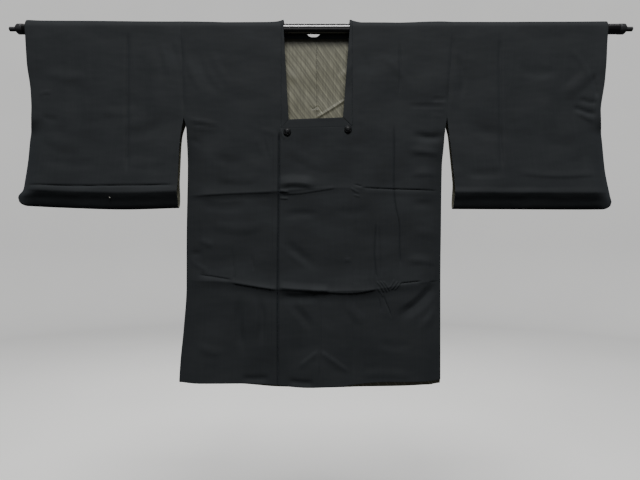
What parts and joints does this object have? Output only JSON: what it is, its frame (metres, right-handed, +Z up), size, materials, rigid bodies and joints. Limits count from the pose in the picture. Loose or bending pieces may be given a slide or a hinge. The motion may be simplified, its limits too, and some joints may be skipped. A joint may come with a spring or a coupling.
{
  "type": "michiyuki coat on a hanging rod",
  "caption": "Black silk kimono coat with a square neck band, wide sleeves and a long overlap, hung flat on a rod through its sleeves.",
  "frame": {"origin": "on the rod's axis, at the middle of the coat", "axes": "+X along the rod towards the wearer's left, -Y out of the coat's front, +Z up"},
  "size_m": [1.3866, 0.0437, 0.8188],
  "materials": {
    "silk": "fine matt silk",
    "lining": "smooth silk with woven slanted stripes",
    "button": "glossy black cord",
    "rod": "gloss black"
  },
  "bodies": {
    "root": {"body_right": "silk", "body_left": "silk", "overlap_left": "silk", "overlap_right": "silk", "sleeve_right": "silk", "sleeve_left": "silk", "collar": "silk", "collar_cross_left": "silk", "collar_cross_right": "silk", "lining_back_right": "lining", "lining_back_left": "lining", "button_right": "button", "button_left": "button", "rod": "rod", "rod_plug_right": "rod", "rod_plug_left": "rod"}
  },
  "joints": []
}
